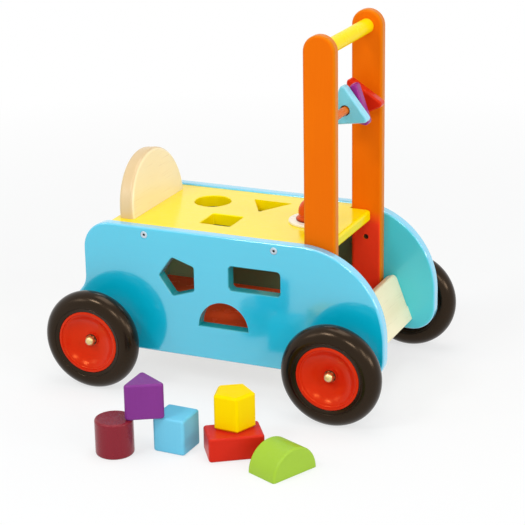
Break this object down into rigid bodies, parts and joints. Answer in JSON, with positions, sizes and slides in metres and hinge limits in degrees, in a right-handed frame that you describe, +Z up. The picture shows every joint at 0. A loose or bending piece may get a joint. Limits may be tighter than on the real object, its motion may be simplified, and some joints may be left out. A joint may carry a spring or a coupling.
{
  "type": "baby walker",
  "caption": "Wooden push-along baby walker with a shape-sorting box seat, a backrest, a push handle with spinning triangles, rubber-tyred wheels and loose sorter blocks.",
  "frame": {"origin": "on the floor, midway between the two axles and midway between the side panels", "axes": "+X forwards towards the push handle, +Y to the rider's left (the far side panel), +Z up"},
  "size_m": [0.459, 0.4973, 0.47],
  "materials": {
    "sky_lacquer": "satin light blue lacquer on plywood",
    "yellow_lacquer": "satin yellow lacquer",
    "orange_lacquer": "satin orange lacquer",
    "red_lacquer": "satin red lacquer",
    "clear_wood": "pale wood under clear varnish",
    "blue_lacquer": "satin light blue lacquer",
    "purple_lacquer": "satin purple lacquer",
    "maroon_lacquer": "satin maroon lacquer",
    "green_lacquer": "satin green lacquer",
    "white_lacquer": "satin cream lacquer",
    "hub_red": "glossy moulded red plastic",
    "tyre_black": "smooth black rubber",
    "steel": "bright zinc-plated steel",
    "dark_screw": "dark browned steel"
  },
  "bodies": {
    "walker": {"side_panel_near": "sky_lacquer", "side_panel_far": "sky_lacquer", "top_board": "yellow_lacquer", "floor_board": "red_lacquer", "rear_board": "clear_wood", "front_board": "clear_wood", "backrest": "clear_wood", "upright_near": "orange_lacquer", "upright_far": "orange_lacquer", "push_bar": "yellow_lacquer", "spinner_rod": "orange_lacquer", "knob_plate": "white_lacquer", "knob_pin": "steel", "axle_rear": "steel", "axle_front": "steel", "axle_washers": "steel", "axle_caps": "steel", "panel_screws": "steel", "upright_screws": "dark_screw", "backrest_screws": "steel"},
    "wheel_rear_near": {"hub_rear_near": "hub_red", "tyre_rear_near": "tyre_black"},
    "wheel_rear_far": {"hub_rear_far": "hub_red", "tyre_rear_far": "tyre_black"},
    "wheel_front_near": {"hub_front_near": "hub_red", "tyre_front_near": "tyre_black"},
    "wheel_front_far": {"hub_front_far": "hub_red", "tyre_front_far": "tyre_black"},
    "triangle_blue": {"spinner_blue": "blue_lacquer"},
    "triangle_purple": {"spinner_purple": "purple_lacquer"},
    "triangle_red": {"spinner_red": "red_lacquer"},
    "turning_knob": {"knob": "red_lacquer"},
    "loose_cylinder": {"block_cylinder": "maroon_lacquer"},
    "loose_cube": {"block_cube": "blue_lacquer"},
    "loose_triangle": {"block_triangle": "purple_lacquer"},
    "loose_brick": {"block_brick": "red_lacquer"},
    "loose_pentagon": {"block_pentagon": "yellow_lacquer"},
    "loose_arch": {"block_arch": "green_lacquer"}
  },
  "joints": [
    {"name": "wheel_rear_near_spin", "type": "hinge", "parent": "walker", "child": "wheel_rear_near", "pos_m": [-0.1645, -0.144, 0.065], "axis": [0, 1, 0], "continuous": true},
    {"name": "wheel_rear_far_spin", "type": "hinge", "parent": "walker", "child": "wheel_rear_far", "pos_m": [-0.1645, 0.144, 0.065], "axis": [0, 1, 0], "continuous": true},
    {"name": "wheel_front_near_spin", "type": "hinge", "parent": "walker", "child": "wheel_front_near", "pos_m": [0.1645, -0.144, 0.065], "axis": [0, 1, 0], "continuous": true},
    {"name": "wheel_front_far_spin", "type": "hinge", "parent": "walker", "child": "wheel_front_far", "pos_m": [0.1645, 0.144, 0.065], "axis": [0, 1, 0], "continuous": true},
    {"name": "triangle_blue_spin", "type": "hinge", "parent": "walker", "child": "triangle_blue", "pos_m": [0.1275, 0.0055, 0.358], "axis": [0, 1, 0], "continuous": true},
    {"name": "triangle_purple_spin", "type": "hinge", "parent": "walker", "child": "triangle_purple", "pos_m": [0.1275, 0.022, 0.358], "axis": [0, 1, 0], "continuous": true},
    {"name": "triangle_red_spin", "type": "hinge", "parent": "walker", "child": "triangle_red", "pos_m": [0.1275, 0.0525, 0.358], "axis": [0, 1, 0], "continuous": true},
    {"name": "knob_turn", "type": "hinge", "parent": "walker", "child": "turning_knob", "pos_m": [0.082, 0, 0.22], "axis": [0, 0, 1], "continuous": true},
    {"name": "cube_pull", "type": "slide", "parent": "walker", "child": "loose_cube", "axis": [0, -1, 0], "range_m": [0, 0.09]},
    {"name": "cylinder_lift", "type": "slide", "parent": "walker", "child": "loose_cylinder", "axis": [0, 0, 1], "range_m": [0, 0.12]},
    {"name": "brick_lift", "type": "slide", "parent": "walker", "child": "loose_brick", "axis": [0, 0, 1], "range_m": [0, 0.12]},
    {"name": "arch_lift", "type": "slide", "parent": "walker", "child": "loose_arch", "axis": [0, 0, 1], "range_m": [0, 0.12]},
    {"name": "triangle_lift", "type": "slide", "parent": "loose_cylinder", "child": "loose_triangle", "axis": [0, 0, 1], "range_m": [0, 0.1]},
    {"name": "pentagon_lift", "type": "slide", "parent": "loose_brick", "child": "loose_pentagon", "axis": [0, 0, 1], "range_m": [0, 0.1]}
  ]
}
